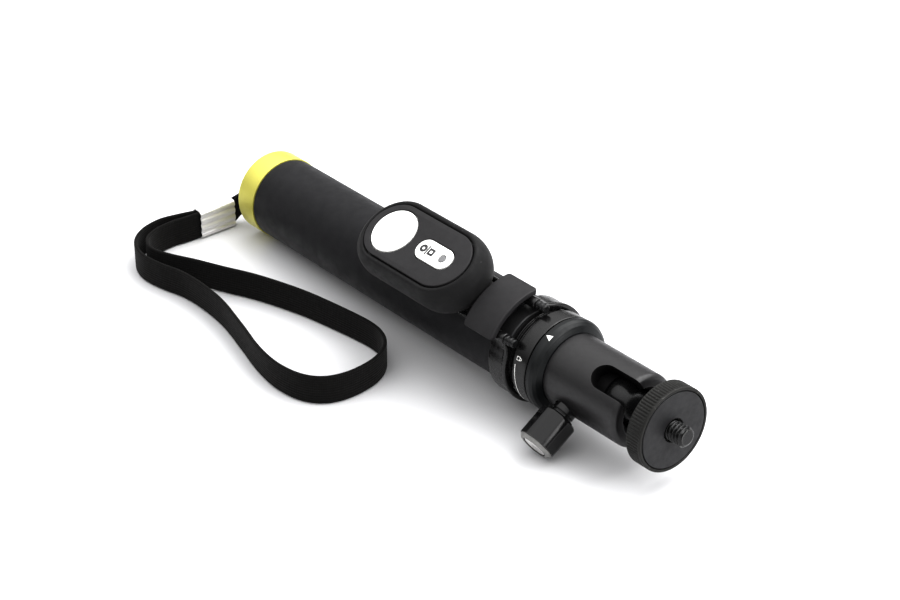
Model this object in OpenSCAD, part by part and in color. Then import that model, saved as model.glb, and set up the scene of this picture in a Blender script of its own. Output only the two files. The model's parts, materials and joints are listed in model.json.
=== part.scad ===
// Telescopic selfie stick, folded, lying on a table on its butt and its lock knob.
// Design frame: the pole runs along +X with x = 0 at the front edge of the end cap,
// the remote is on +Z and the lock knob points to -Y. lie() then rolls and tips the
// whole stick into its resting pose on z = 0.

/* [Handle] */
// Outer radius of the rubber grip
grip_r = 14; // [13.8:0.1:14.2]
// Outer radius of the end cap
cap_r = 14.3; // [14.1:0.1:14.8]
// Length of the end cap
cap_len = 9.3; // [9:0.1:12]
// Front end of the grip
grip_end = 127; // [126.5:0.1:127.2]
// Outer radius of the handle tube
tube0_r = 12.6; // [12.5:0.05:12.8]
// Bore radius of the handle tube
tube0_bore = 11.8; // [11.7:0.05:11.9]

/* [Telescopic sections] */
// Number of sliding sections
sections = 5; // [5:5]
// Outer radius of the largest sliding section
section_r = 11; // [10.95:0.01:11]
// Step in radius from one section to the next
section_step = 1.55; // [1.5:0.01:1.55]
// Wall of a section
section_wall = 0.5; // [0.45:0.01:0.7]
// Running clearance on a radius
run_gap = 0.05; // [0.03:0.01:0.08]
// Pull-out travel of one section
travel = 102; // [80:1:104]

/* [Head] */
// Radius of the ball-head housing
head_r = 11.9; // [11.8:0.1:12.2]
// Front end of the housing
head_end = 179; // [178:0.1:179.5]
// Place of the ball centre along the pole
ball_x = 171; // [170.8:0.1:171.2]
// Radius of the ball
ball_r = 7.2; // [7.1:0.05:7.25]
// Width of the tilt slot
slot_w = 8.3; // [7:0.1:8.6]
// Radius of the knurled wheel
wheel_r = 13.5; // [12.5:0.1:13.6]
// Rear face of the knurled wheel
wheel_x = 185.7; // [185.7:0.1:186.2]
// Thickness of the knurled wheel
wheel_t = 5.8; // [5:0.1:6.5]
// Major radius of the camera screw (1/4 inch thread)
screw_r = 3.175; // [3.175]
// Length of the camera screw in front of the wheel
screw_len = 5.5; // [4.5:0.1:6]

/* [Lock knob] */
// Place of the lock knob along the pole
knob_x = 156; // [155:0.1:157]
// Distance of the knob's near end from the pole's axis
knob_near = 14.4; // [13.8:0.1:15]
// Distance of the knob's far end from the pole's axis
knob_far = 26.4; // [24:0.1:28]
// Radius of the knob over its corners
knob_r = 6.1; // [5.5:0.1:6.6]

/* [Remote] */
// Middle of the remote along the pole
remote_x = 92.3; // [92.1:0.1:92.5]
// Height of the remote's face above the pole's axis
face_z = 29.2; // [28.6:0.1:30]
// Length of the remote's face
face_len = 44.5; // [43.5:0.1:45]
// Width of the remote's face
face_w = 20.3; // [20:0.1:21]
// Radius of the large button
big_button_r = 8; // [7.5:0.1:8.2]
// Travel of the buttons
press = 0.5; // [0.3:0.1:0.5]

/* [Clip] */
// Turn of the clip round the handle, in degrees
clip_turn = -1.8; // [-4:0.1:4]
// Outer radius of the clip's ring
ring_r = 16.3; // [16:0.1:16.5]
// Outer radius of the arched plate
plate_r = 20.8; // [20.6:0.1:21]
// Half of the angle that the arched plate spans
plate_ang = 31; // [29:1:32]
// Rear edge of the arched plate
plate_x0 = 118.3; // [118.2:0.1:118.6]
// Front edge of the arched plate
plate_x1 = 131.6; // [131:0.1:132]

/* [Wrist strap] */
// Width of the webbing
strap_w = 10; // [9:0.5:11]
// Thickness of the webbing
strap_t = 1.2; // [1:0.1:1.4]

/* [Hidden] */
$fn = 64;
lean = 32;                                  // roll of the stick about its own axis
low_knob = knob_far * sin(lean) + knob_r * cos(lean);
pitch = asin((low_knob - cap_r) / (knob_x + cap_len));
tail_x = 6;                                 // rear end of every sliding section
neck_len = 8;
front_x = [for (i = [0 : sections]) 128 + 2.2 * i];
bush_len = front_x[0] - neck_len - tail_x - travel - 2;
wheel_end = wheel_x + wheel_t;
screw_tip = wheel_end + screw_len;
shank_r = screw_r - 0.4;
base_r = grip_r + 0.4;
mid = [93.66, -4.62];                       // middle of the resting stick's box
cap_y = -mid[1];
bar_r = 1.6;
strap_path = [[-112.9, -14.5], [-113, -20.5], [-114.6, -27], [-115.6, -34], [-113.4, -42],
    [-108, -48], [-100, -50.6], [-91, -49.6], [-81, -46.8], [-70, -46], [-57, -46.9],
    [-43, -49.9], [-29, -53.2], [-17, -54.4], [-7, -52.6], [-0.8, -47.8], [1.6, -40],
    [0.6, -30], [-3.4, -22.6], [-9.4, -18.6], [-18, -17.6], [-33, -20], [-48, -23.4],
    [-63, -28.6], [-75, -34.4], [-85, -39], [-94, -43.8], [-101.4, -46],
    [-107.4, -43.6], [-110.8, -38], [-111.8, -31], [-111.4, -26.5], [-111.1, -20.5],
    [-111.1, -14.5]];
ear_y = 7.2;
ear_z = 15.6;
ear_r = 0.9;
case_z = 18;

// ---- helpers -------------------------------------------------------------------------

// Puts the design frame into the resting pose
module lie() {
    translate([-mid[0], -mid[1], cap_r * cos(pitch) + cap_len * sin(pitch)])
        rotate([0, -pitch, 0]) rotate([lean, 0, 0]) children();
}

// Turns a piece of the stick back upright, so it stands plumb when the stick lies down
module upright() {
    rotate([-lean, 0, 0]) children();
}

// Solid of revolution about +X from points [x, radius]
module turned(points) {
    rotate([90, 0, 90]) rotate_extrude() polygon([for (p = points) [p[1], p[0]]]);
}

// Plain rod along +X
module rod(x0, x1, r) {
    translate([x0, 0, 0]) rotate([0, 90, 0]) cylinder(h = x1 - x0, r = r);
}

// Tube along +X
module pipe(x0, x1, r, bore) {
    difference() {
        rod(x0, x1, r);
        rod(x0 - 1, x1 + 1, bore);
    }
}

// Rounded-end outline, long side along X
module pill(len, w) {
    square([len - w, w], center = true);
    for (s = [-1, 1]) translate([s * (len - w) / 2, 0]) circle(d = w);
}

module pill_block(x, z0, z1, len, w) {
    translate([x, 0, z0]) linear_extrude(z1 - z0) pill(len, w);
}

// Part of a tube about +X, centred on +Z, half angle a
module arch(x0, x1, r, bore, a) {
    translate([x0, 0, 0]) rotate([0, 90, 0]) rotate([0, 0, 180 - a])
        rotate_extrude(angle = 2 * a) translate([bore, 0]) square([r - bore, x1 - x0]);
}

// ---- handle --------------------------------------------------------------------------

module end_cap() color([0.72, 0.79, 0.12]) difference() {
    turned([[-cap_len, 0], [-cap_len, cap_r - 1.4], [-cap_len + 0.4, cap_r - 0.6],
            [-cap_len + 1.2, cap_r], [0, cap_r], [0, tube0_r], [-cap_len + 3, tube0_r],
            [-cap_len + 3, 0]]);
    upright() {
        for (s = [-1, 1]) translate([-cap_len - 1, s * 2.7 - 1.1, -5]) cube([4.2, 2.2, 10]);
        cap_bar();
    }
}

module cap_bar() {
    translate([-cap_len + 5.1, 0, -13.3]) cylinder(h = 26.6, r = bar_r);
}

// Bar inside the cap that the loop goes round
module lanyard_bar() color([0.6, 0.6, 0.62]) upright() cap_bar();

module handle_tube() color([0.16, 0.16, 0.17]) pipe(-2.4, 134, tube0_r, tube0_bore);

module grip_sleeve() color([0.07, 0.07, 0.075])
    turned([[0.1, tube0_r], [0.1, grip_r - 0.4], [0.5, grip_r], [grip_end - 1, grip_r],
            [grip_end - 0.2, grip_r - 0.6], [grip_end - 0.2, tube0_r]]);

module front_bezel() color([0.3, 0.3, 0.32]) pipe(grip_end, 132.4, grip_r - 0.2, tube0_r);

module front_bush() color([0.12, 0.12, 0.12])
    pipe(front_x[0] - neck_len, front_x[0] + 5.6, tube0_bore, section_r + run_gap);

// Fixed collar that carries the lock mark
module lock_collar() color([0.09, 0.09, 0.1])
    turned([[132.6, tube0_r], [132.6, 13.3], [134, 13.3], [134.1, 13.8], [134.7, 13.8],
            [134.8, 13.3], [135.7, 13.3], [135.8, 13.8], [136.4, 13.8], [136.5, 13.3],
            [137.4, 13.3], [137.4, 14.8], [137.8, 15.2], [142.9, 15.2], [143.2, 14.9],
            [143.2, 11.5], [134.2, 11.5], [134.2, tube0_r]]);

// ---- telescopic sections ---------------------------------------------------------------

// Sliding section i with a closed-in neck that guides the next one
module section(i) {
    r = section_r - (i - 1) * section_step;
    bore = r - section_wall;
    end = i < sections ? front_x[i] : 150;
    color([0.78, 0.79, 0.8]) difference() {
        rod(tail_x, end, r);
        rod(tail_x - 1, i < sections ? end - neck_len : end + 1, bore);
        if (i < sections) rod(0, end + 1, r - section_step + run_gap);
    }
}

// Sleeve on the tail of section i that runs in the section outside it
module guide_bush(i) {
    r = section_r - (i - 1) * section_step;
    outer = i == 1 ? tube0_bore : r + section_step - section_wall;
    color([0.85, 0.85, 0.83]) pipe(tail_x, tail_x + bush_len, outer - run_gap, r);
}

// ---- head ------------------------------------------------------------------------------

// Marked ring that turns with the head
module index_ring() color([0.07, 0.08, 0.1])
    turned([[143.7, 10], [143.7, 15.1], [143.9, 15.3], [145.2, 15.3], [146.2, 14.9],
            [147.1, 14], [148, 12.3], [148, 10]]);

module head_housing() color([0.08, 0.08, 0.085]) difference() {
    turned([[143.9, 0], [143.9, 10], [148, 10], [148, head_r], [head_end - 4, head_r],
            for (a = [75 : -15 : 0]) [head_end - 4 + 4 * cos(a), head_r - 4 + 4 * sin(a)],
            [head_end, 0]]);
    rod(142, 156, section_r - 4 * section_step + run_gap);
    rod(154, 175.2, 7.6);
    rod(170, 180, 6.3);
    translate([176.4, 0, 0]) rotate([0, 90, 0]) cylinder(h = 2.8, r1 = 6.2, r2 = 8.3);
    // slot that lets the ball's stem tilt up
    translate([ball_x - 2.6, 0, 0]) linear_extrude(head_r + 1) {
        circle(d = slot_w);
        translate([0, -slot_w / 2]) square([head_end, slot_w]);
    }
    rotate([90, 0, 0]) translate([knob_x, 0, 3]) cylinder(h = head_r, r = 2.5 + run_gap);
    rotate([90, 0, 0]) translate([knob_x, 0, head_r - 2]) cylinder(h = 4, r = 3.9);
}

module ball_seat() color([0.75, 0.75, 0.76]) difference() {
    rod(162.2, 168.4, 7.5);
    translate([ball_x, 0, 0]) sphere(r = ball_r + 0.06);
    rod(160, 170, 3);
}

module seat_plunger() color([0.7, 0.68, 0.6]) difference() {
    rod(156.5, 162.1, 7.5);
    rotate([90, 0, 0]) translate([knob_x, 0, -8]) cylinder(h = 16, r = 2.9);
}

module ball_stem() color([0.05, 0.05, 0.055]) difference() {
    union() {
        translate([ball_x, 0, 0]) sphere(r = ball_r);
        rod(ball_x + 4, wheel_x - 0.4, 2.4);
    }
    rod(178.6, wheel_x, 1.6 + run_gap);
}

module camera_screw() color([0.2, 0.2, 0.21]) turned([
    [179, 0], [179, 1.6], [wheel_x - 0.1, 1.6], [wheel_x - 0.1, shank_r],
    [wheel_end, shank_r], [wheel_end, screw_r], [screw_tip - 0.6, screw_r],
    [screw_tip, screw_r - 0.6], [screw_tip, 0]]);

module knurled_wheel() color([0.1, 0.1, 0.105]) turned([
    [wheel_x, shank_r + run_gap], [wheel_x, wheel_r - 0.5], [wheel_x + 0.5, wheel_r],
    [wheel_end - 0.7, wheel_r], [wheel_end - 0.1, wheel_r - 0.6],
    [wheel_end - 0.1, wheel_r - 0.9], [wheel_end - 0.9, wheel_r - 0.9],
    [wheel_end - 0.9, shank_r + run_gap]]);

module wheel_pad() color([0.13, 0.13, 0.13])
    pipe(wheel_end - 0.9, wheel_end, wheel_r - 1.2, screw_r + 0.3);

// ---- lock knob -------------------------------------------------------------------------

// Puts a piece drawn along +X from the pole's axis on the knob's axis, towards -Y
module at_knob() {
    translate([knob_x, 0, 0]) rotate([0, 0, -90]) children();
}

module knob_screw() color([0.1, 0.1, 0.11]) at_knob() turned([
    [1, 0], [2.4, 1.2], [3, 2.5], [head_r - 1.8, 2.5], [head_r - 1.8, 3.7],
    [knob_near - 0.1, 3.7], [knob_near - 0.1, 2], [knob_far - 4, 2], [knob_far - 4, 0]]);

module lock_knob() color([0.06, 0.06, 0.065]) at_knob() difference() {
    intersection() {
        translate([knob_near, 0, 0]) rotate([0, 90, 0])
            cylinder(h = knob_far - knob_near, r = knob_r + 0.5, $fn = 6);
        turned([[knob_near, 0], [knob_near, knob_r - 0.6], [knob_near + 0.6, knob_r],
                [knob_far - 1, knob_r], [knob_far, knob_r - 1], [knob_far, 0]]);
    }
    rod(knob_near - 1, knob_far - 4, 2);
    rod(knob_far - 1.4, knob_far + 1, 3.9);
}

module knob_cap() color([0.75, 0.75, 0.76]) at_knob() difference() {
    rod(knob_far - 1.4, knob_far - 0.1, 3.8);
    translate([knob_far - 0.6, -1.1, -0.4]) cube([2, 2.2, 0.8]);
}

// ---- clip ------------------------------------------------------------------------------

// Turns the clip and the remote on the handle
module on_clip() {
    rotate([clip_turn, 0, 0]) children();
}

// Ring round the front of the handle, open at the top between two ears
module clip_ring() color([0.14, 0.14, 0.15]) difference() {
    union() {
        difference() {
            pipe(127.2, 135.6, ring_r, base_r);
            translate([120, -ear_y, 0]) cube([20, 2 * ear_y, 20]);
        }
        at_rods() {
            rod(128, 134, 1.6);
            translate([128, -1.6, -3]) cube([6, 3.2, 3]);
        }
    }
    rod(120, 140, base_r);
    at_rods() rod(120, 140, ear_r);
}

module at_rods() {
    for (s = [-1, 1]) translate([0, s * ear_y, ear_z]) children();
}

// Two rods that carry the plate and the sleeve on the ring's ears
module carrier_rods() color([0.25, 0.25, 0.26]) at_rods() {
    rod(112, 137, ear_r);
    rod(135.7, 138, 1.5);
}

// Arched plate with side cheeks and the thin cradle under the remote
module saddle_plate() color([0.2, 0.2, 0.22]) difference() {
    union() {
        arch(plate_x0, plate_x1, plate_r, plate_r - 1.8, plate_ang);
        for (s = [-1, 1]) rotate([s * (plate_ang - 0.8), 0, 0])
            translate([plate_x0 + 0.5, -0.7, base_r + 0.6])
                cube([plate_x1 - plate_x0 - 5, 1.4, plate_r - base_r - 1.5]);
        arch(remote_x - 22, plate_x0 + 8, base_r + 0.9, base_r + 0.3, plate_ang);
        at_rods() translate([plate_x0 + 1, -1.4, -1.5]) cube([3.6, 2.8, 4.2]);
    }
    at_rods() rod(plate_x0 - 1, plate_x0 + 6, ear_r);
}

// ---- remote ----------------------------------------------------------------------------

// Silicone sleeve round the remote
module remote_sleeve() color([0.1, 0.1, 0.105]) difference() {
    hull() {
        pill_block(remote_x - 0.8, base_r + 1.7, base_r + 1.9, 49, 23);
        pill_block(remote_x - 0.8, 21.5, 24.5, 53, 27);
        pill_block(remote_x, face_z - 0.9, face_z - 0.3, 47.6, 24);
    }
    pill_block(remote_x, case_z, face_z + 1, face_len + 0.6, face_w + 0.6);
    at_rods() rod(111, 119, ear_r);
}

module remote_case() color([0.12, 0.12, 0.12]) difference() {
    pill_block(remote_x, case_z + 0.1, face_z - 2.2, face_len + 0.4, face_w + 0.4);
    pill_block(remote_x, case_z + 1.2, face_z, face_len - 2, face_w - 2);
}

module remote_face() color([0.19, 0.19, 0.2]) difference() {
    pill_block(remote_x, face_z - 2.2, face_z, face_len, face_w);
    pill_block(remote_x, face_z - 3, face_z - 1.2, face_len - 2, face_w - 2);
    translate([remote_x - 11.5, 0, face_z - 3]) cylinder(h = 4, r = big_button_r + 0.3);
    pill_block(remote_x + 8.4, face_z - 3, face_z + 1, 16.1, 7.9);
}

module shutter_button() color([0.95, 0.95, 0.93])
    translate([remote_x - 11.5, 0, face_z - 1.9]) {
        cylinder(h = 2.1, r = big_button_r);
        cylinder(h = 0.4, r = big_button_r + 0.7);
        translate([0, 0, -1]) cylinder(h = 1.1, r = 1.5);
    }

module mode_button() color([0.95, 0.95, 0.93]) difference() {
    union() {
        pill_block(remote_x + 8.4, face_z - 1.9, face_z + 0.2, 15.5, 7.3);
        pill_block(remote_x + 8.4, face_z - 1.9, face_z - 1.5, 16.9, 8.7);
        translate([remote_x + 6, 0, face_z - 2.9]) cylinder(h = 1.1, r = 1.2);
    }
    translate([remote_x + 12.3, 0, face_z - 3]) cylinder(h = 4, r = 1.45);
}

module status_lens() color([0.45, 0.45, 0.47])
    translate([remote_x + 12.3, 0, face_z - 4]) cylinder(h = 4.1, r = 1.15);

module circuit_board() color([0.05, 0.3, 0.15])
    pill_block(remote_x, face_z - 5, face_z - 4, face_len - 3, face_w - 3);

module dome_switches() color([0.8, 0.8, 0.82]) for (x = [-11.5, 6])
    translate([remote_x + x, 0, face_z - 4]) cylinder(h = 1 - press, r = 2.5);

module coin_cell() color([0.8, 0.8, 0.8])
    translate([remote_x - 9, 0, case_z + 1.3]) cylinder(h = 2, r = 8);

// ---- wrist strap (drawn where it lies on the table) --------------------------------------

// Smooth curve through hand-picked points: position at t from p[i] to p[i + 1]
function through(p, i, t) =
    let (n = len(p) - 1, a = p[max(i - 1, 0)], b = p[i], c = p[i + 1], d = p[min(i + 2, n)])
    0.5 * (2 * b + (c - a) * t + (2 * a - 5 * b + 4 * c - d) * t * t
        + (3 * b - a - 3 * c + d) * t * t * t);
function smooth(p, n) =
    [for (i = [0 : len(p) - 2], k = [0 : n - 1]) through(p, i, k / n), p[len(p) - 1]];
function side(p, i) =
    let (v = p[min(i + 1, len(p) - 1)] - p[max(i - 1, 0)]) [-v[1], v[0]] / norm(v);

// Band of webbing that stands on its edge along a path
module ribbon(path, w, t) {
    p = smooth(path, 4);
    linear_extrude(w) polygon(concat(
        [for (i = [0 : len(p) - 1]) p[i] + side(p, i) * t / 2],
        [for (i = [len(p) - 1 : -1 : 0]) p[i] - side(p, i) * t / 2]));
}

module wrist_strap() color([0.04, 0.04, 0.04])
    translate([0, 0, 0.3]) ribbon(strap_path, strap_w, strap_t);

module strap_ferrule() color([0.75, 0.75, 0.76]) translate([-112, -20.5, 0]) difference() {
    translate([-2.6, 0, 0.04]) cube([5.2, 14.2, 10.7]);
    translate([-2, -1, 0.28]) cube([4, 17, 10.1]);
}

// Short loop that ties the ferrule to the bar inside the cap
module strap_loop() color([0.05, 0.05, 0.05]) {
    for (s = [-1, 1]) {
        translate([-112 - s * 0.9 - 0.5, -9.3, 1]) cube([1, 3.4, 8.4]);
        hull() {
            translate([-112 - s * 0.9 - 0.5, -6.2, 1]) cube([1, 0.3, 8.4]);
            translate([-105.2, cap_y + s * 2.6 - 0.5, 10.3]) cube([0.4, 1, 8.2]);
        }
        translate([-105, cap_y + s * 2.6 - 0.5, 10.3]) cube([10, 1, 8.2]);
    }
    translate([-96, cap_y - 3.1, 10.3]) cube([1, 6.2, 8.2]);
}

// ---- draw ------------------------------------------------------------------------------

lie() end_cap();
lie() lanyard_bar();
lie() handle_tube();
lie() grip_sleeve();
lie() front_bezel();
lie() front_bush();
lie() lock_collar();
lie() section(1);  // section_1
lie() section(2);  // section_2
lie() section(3);  // section_3
lie() section(4);  // section_4
lie() section(5);  // section_5
lie() guide_bush(1);  // guide_bush_1
lie() guide_bush(2);  // guide_bush_2
lie() guide_bush(3);  // guide_bush_3
lie() guide_bush(4);  // guide_bush_4
lie() guide_bush(5);  // guide_bush_5
lie() index_ring();
lie() head_housing();
lie() ball_seat();
lie() seat_plunger();
lie() ball_stem();
lie() knob_screw();
lie() lock_knob();
lie() knob_cap();
lie() camera_screw();
lie() knurled_wheel();
lie() wheel_pad();
lie() on_clip() clip_ring();
lie() on_clip() carrier_rods();
lie() on_clip() saddle_plate();
lie() on_clip() remote_sleeve();
lie() on_clip() remote_case();
lie() on_clip() remote_face();
lie() on_clip() shutter_button();
lie() on_clip() mode_button();
lie() on_clip() status_lens();
lie() on_clip() circuit_board();
lie() on_clip() dome_switches();
lie() on_clip() coin_cell();
strap_loop();
strap_ferrule();
wrist_strap();
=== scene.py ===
"""Looks of the folded selfie stick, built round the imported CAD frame."""
import json
import math

import bmesh
import bpy
from mathutils import Matrix, Vector, noise


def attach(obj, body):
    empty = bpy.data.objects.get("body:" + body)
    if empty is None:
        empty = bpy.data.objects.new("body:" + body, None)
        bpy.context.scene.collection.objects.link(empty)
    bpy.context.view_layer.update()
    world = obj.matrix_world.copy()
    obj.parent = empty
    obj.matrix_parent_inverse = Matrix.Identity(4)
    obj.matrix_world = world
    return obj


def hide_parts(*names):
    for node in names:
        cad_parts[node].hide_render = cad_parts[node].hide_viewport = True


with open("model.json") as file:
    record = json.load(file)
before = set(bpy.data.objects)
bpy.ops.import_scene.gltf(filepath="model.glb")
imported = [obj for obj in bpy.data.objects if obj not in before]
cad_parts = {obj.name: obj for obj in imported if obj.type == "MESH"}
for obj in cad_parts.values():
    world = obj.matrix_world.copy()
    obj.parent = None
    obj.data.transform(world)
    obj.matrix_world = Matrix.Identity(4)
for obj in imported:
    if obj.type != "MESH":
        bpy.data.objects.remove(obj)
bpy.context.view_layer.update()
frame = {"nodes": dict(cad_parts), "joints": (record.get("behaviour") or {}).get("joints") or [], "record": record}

# ---- the stick's own frame: +X along the pole, remote on +Z, knob on -Y, millimetres --------
MM = 0.001
JOINTS = {j["name"]: j for j in frame["joints"]}
POLE = Vector(JOINTS["head_twist"]["axis"])
SIDE = -Vector(JOINTS["knob_turn"]["axis"])
TOP = POLE.cross(SIDE)
RING_FRONT = 148.0
ORIGIN = Vector(JOINTS["head_twist"]["pos_m"]) - POLE * RING_FRONT * MM
STICK = (Matrix.Translation(ORIGIN) @ Matrix((POLE, SIDE, TOP)).transposed().to_4x4()
         @ Matrix.Scale(MM, 4))
KNOB_X = 156.0
KNOB = STICK @ Matrix.Translation((KNOB_X, 0, 0)) @ Matrix.Rotation(math.radians(-90), 4, "Z")
CLIP_TOP = -Vector(JOINTS["shutter_press"]["axis"])
CLIP = (Matrix.Translation(ORIGIN)
        @ Matrix((POLE, CLIP_TOP.cross(POLE), CLIP_TOP)).transposed().to_4x4()
        @ Matrix.Scale(MM, 4))
TABLE = Matrix.Scale(MM, 4)

# ---- camera ------------------------------------------------------------------------------
CAMERA_AT = (0.4643, -0.37534, 0.38534)
CAMERA_AZIMUTH, CAMERA_DOWN, CAMERA_ROLL = 50.956, 31.498, -0.10
SENSOR_WIDTH, FOCAL_LENGTH = 36, 88.88
camera = bpy.data.objects.new("camera", bpy.data.cameras.new("camera"))
bpy.context.scene.collection.objects.link(camera)
camera.location = CAMERA_AT
camera.rotation_mode = "QUATERNION"
camera.rotation_quaternion = (Matrix.Rotation(math.radians(CAMERA_AZIMUTH), 3, "Z")
                              @ Matrix.Rotation(math.radians(90 - CAMERA_DOWN), 3, "X")
                              @ Matrix.Rotation(math.radians(CAMERA_ROLL), 3, "Z")).to_quaternion()
camera.data.sensor_width, camera.data.lens = SENSOR_WIDTH, FOCAL_LENGTH
camera.data.clip_start, camera.data.clip_end = 0.01, 20
bpy.context.scene.camera = camera


# ---- materials ---------------------------------------------------------------------------
def material(name, colour, rough, metal=0.0, mottle=0.12, mottle_scale=300, rough_swing=0.08,
             grain=(2600, 0.04), lines=None, specular=0.5, coat=0.0, coat_rough=0.2,
             sheen=0.0, edge=None, weave=None, fleck=None):
    """Procedural finish: mottled colour, uneven roughness and fine grain. Scales are per metre.

    grain = (scale, strength); lines = (scale, stretch, strength) of turned or brushed lines;
    edge = (from, to, amount, colour) of lighter pointy edges, partly wear and partly painted
    highlight; fleck = (scale, threshold, amount) of dust; weave = (rate along, rate across,
    strength) of webbing, in the mesh's UVs, its hollows darkened with painted shade.
    """
    m = bpy.data.materials.new(name)
    m.use_nodes = True
    nt = m.node_tree
    nt.nodes.clear()
    new, link = nt.nodes.new, nt.links.new
    out, shader = new("ShaderNodeOutputMaterial"), new("ShaderNodeBsdfPrincipled")
    link(shader.outputs[0], out.inputs[0])
    where = new("ShaderNodeTexCoord").outputs["Object"]

    def noise_tex(scale, detail=4.0):
        n = new("ShaderNodeTexNoise")
        n.inputs["Scale"].default_value = scale
        n.inputs["Detail"].default_value = detail
        link(where, n.inputs["Vector"])
        return n.outputs["Fac"]

    def ramp(value, low, high, to_low, to_high):
        r = new("ShaderNodeMapRange")
        link(value, r.inputs["Value"])
        for key, number in zip(("From Min", "From Max", "To Min", "To Max"),
                               (low, high, to_low, to_high)):
            r.inputs[key].default_value = number
        return r.outputs["Result"]

    def mix(factor, a, b):
        x = new("ShaderNodeMix")
        x.data_type = "RGBA"
        link(factor, x.inputs[0])
        for socket, value in ((x.inputs[6], a), (x.inputs[7], b)):
            if isinstance(value, tuple):
                socket.default_value = (*value, 1)
            else:
                link(value, socket)
        return x.outputs[2]

    dark = tuple(c * (1 - mottle) for c in colour)
    light = tuple(min(1, c * (1 + mottle)) for c in colour)
    tone = mix(ramp(noise_tex(mottle_scale), 0.3, 0.7, 0, 1), dark, light)
    if fleck:
        dots = ramp(noise_tex(fleck[0], 1.0), fleck[1], fleck[1] + 0.04, 0, fleck[2])
        tone = mix(dots, tone, tuple(min(1, 3.5 * c + 0.03) for c in colour))
    # edge: a lighter colour on pointy edges, partly wear and partly painted highlight
    if edge:
        wear_and_highlight = new("ShaderNodeNewGeometry").outputs["Pointiness"]
        tone = mix(ramp(wear_and_highlight, edge[0], edge[1], 0, edge[2]), tone, edge[3])
    height = None
    if weave:
        uv = new("ShaderNodeUVMap")
        split = new("ShaderNodeSeparateXYZ")
        link(uv.outputs[0], split.inputs[0])

        def sine(value, rate):
            turns = new("ShaderNodeMath")
            turns.operation = "MULTIPLY"
            link(value, turns.inputs[0])
            turns.inputs[1].default_value = 2 * math.pi * rate
            wave = new("ShaderNodeMath")
            wave.operation = "SINE"
            link(turns.outputs[0], wave.inputs[0])
            return ramp(wave.outputs[0], -1, 1, 0, 1)

        def times(a, b):
            product = new("ShaderNodeMath")
            product.operation = "MULTIPLY"
            link(a, product.inputs[0])
            link(b, product.inputs[1])
            return product.outputs[0]

        height = times(ramp(sine(split.outputs[1], weave[1]), 0, 1, 0.35, 1),
                       ramp(sine(split.outputs[0], weave[0]), 0, 1, 0.6, 1))
        # painted shade: the weave's hollows are mixed towards a third of the webbing's colour
        tone = mix(height, tuple(c * 0.35 for c in colour), tone)
    link(tone, shader.inputs["Base Color"])
    swing = ramp(noise_tex(mottle_scale * 1.7), 0.3, 0.7, rough - rough_swing, rough + rough_swing)
    link(swing, shader.inputs["Roughness"])
    shader.inputs["Metallic"].default_value = metal
    shader.inputs["Specular IOR Level"].default_value = specular
    shader.inputs["Coat Weight"].default_value = coat
    shader.inputs["Coat Roughness"].default_value = coat_rough
    shader.inputs["Sheen Weight"].default_value = sheen

    fine = noise_tex(grain[0], 2.0)
    bump = new("ShaderNodeBump")
    bump.inputs["Strength"].default_value = grain[1]
    bump.inputs["Distance"].default_value = 0.0002
    link(fine, bump.inputs["Height"])
    if height is not None:
        over = new("ShaderNodeBump")
        over.inputs["Strength"].default_value = weave[2]
        over.inputs["Distance"].default_value = 0.00018
        link(height, over.inputs["Height"])
        link(bump.outputs[0], over.inputs["Normal"])
        bump = over
    if lines:
        turn = new("ShaderNodeMapping")
        turn.vector_type = "TEXTURE"
        turn.inputs["Rotation"].default_value = STICK.to_3x3().normalized().to_euler()
        link(where, turn.inputs["Vector"])
        squeeze = new("ShaderNodeMapping")
        squeeze.inputs["Scale"].default_value = lines[1]
        link(turn.outputs[0], squeeze.inputs["Vector"])
        n = new("ShaderNodeTexNoise")
        n.inputs["Scale"].default_value = lines[0]
        n.inputs["Detail"].default_value = 3
        link(squeeze.outputs[0], n.inputs["Vector"])
        over = new("ShaderNodeBump")
        over.inputs["Strength"].default_value = lines[2]
        over.inputs["Distance"].default_value = 0.0001
        link(n.outputs["Fac"], over.inputs["Height"])
        link(bump.outputs[0], over.inputs["Normal"])
        bump = over
    link(bump.outputs[0], shader.inputs["Normal"])
    return m


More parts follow.
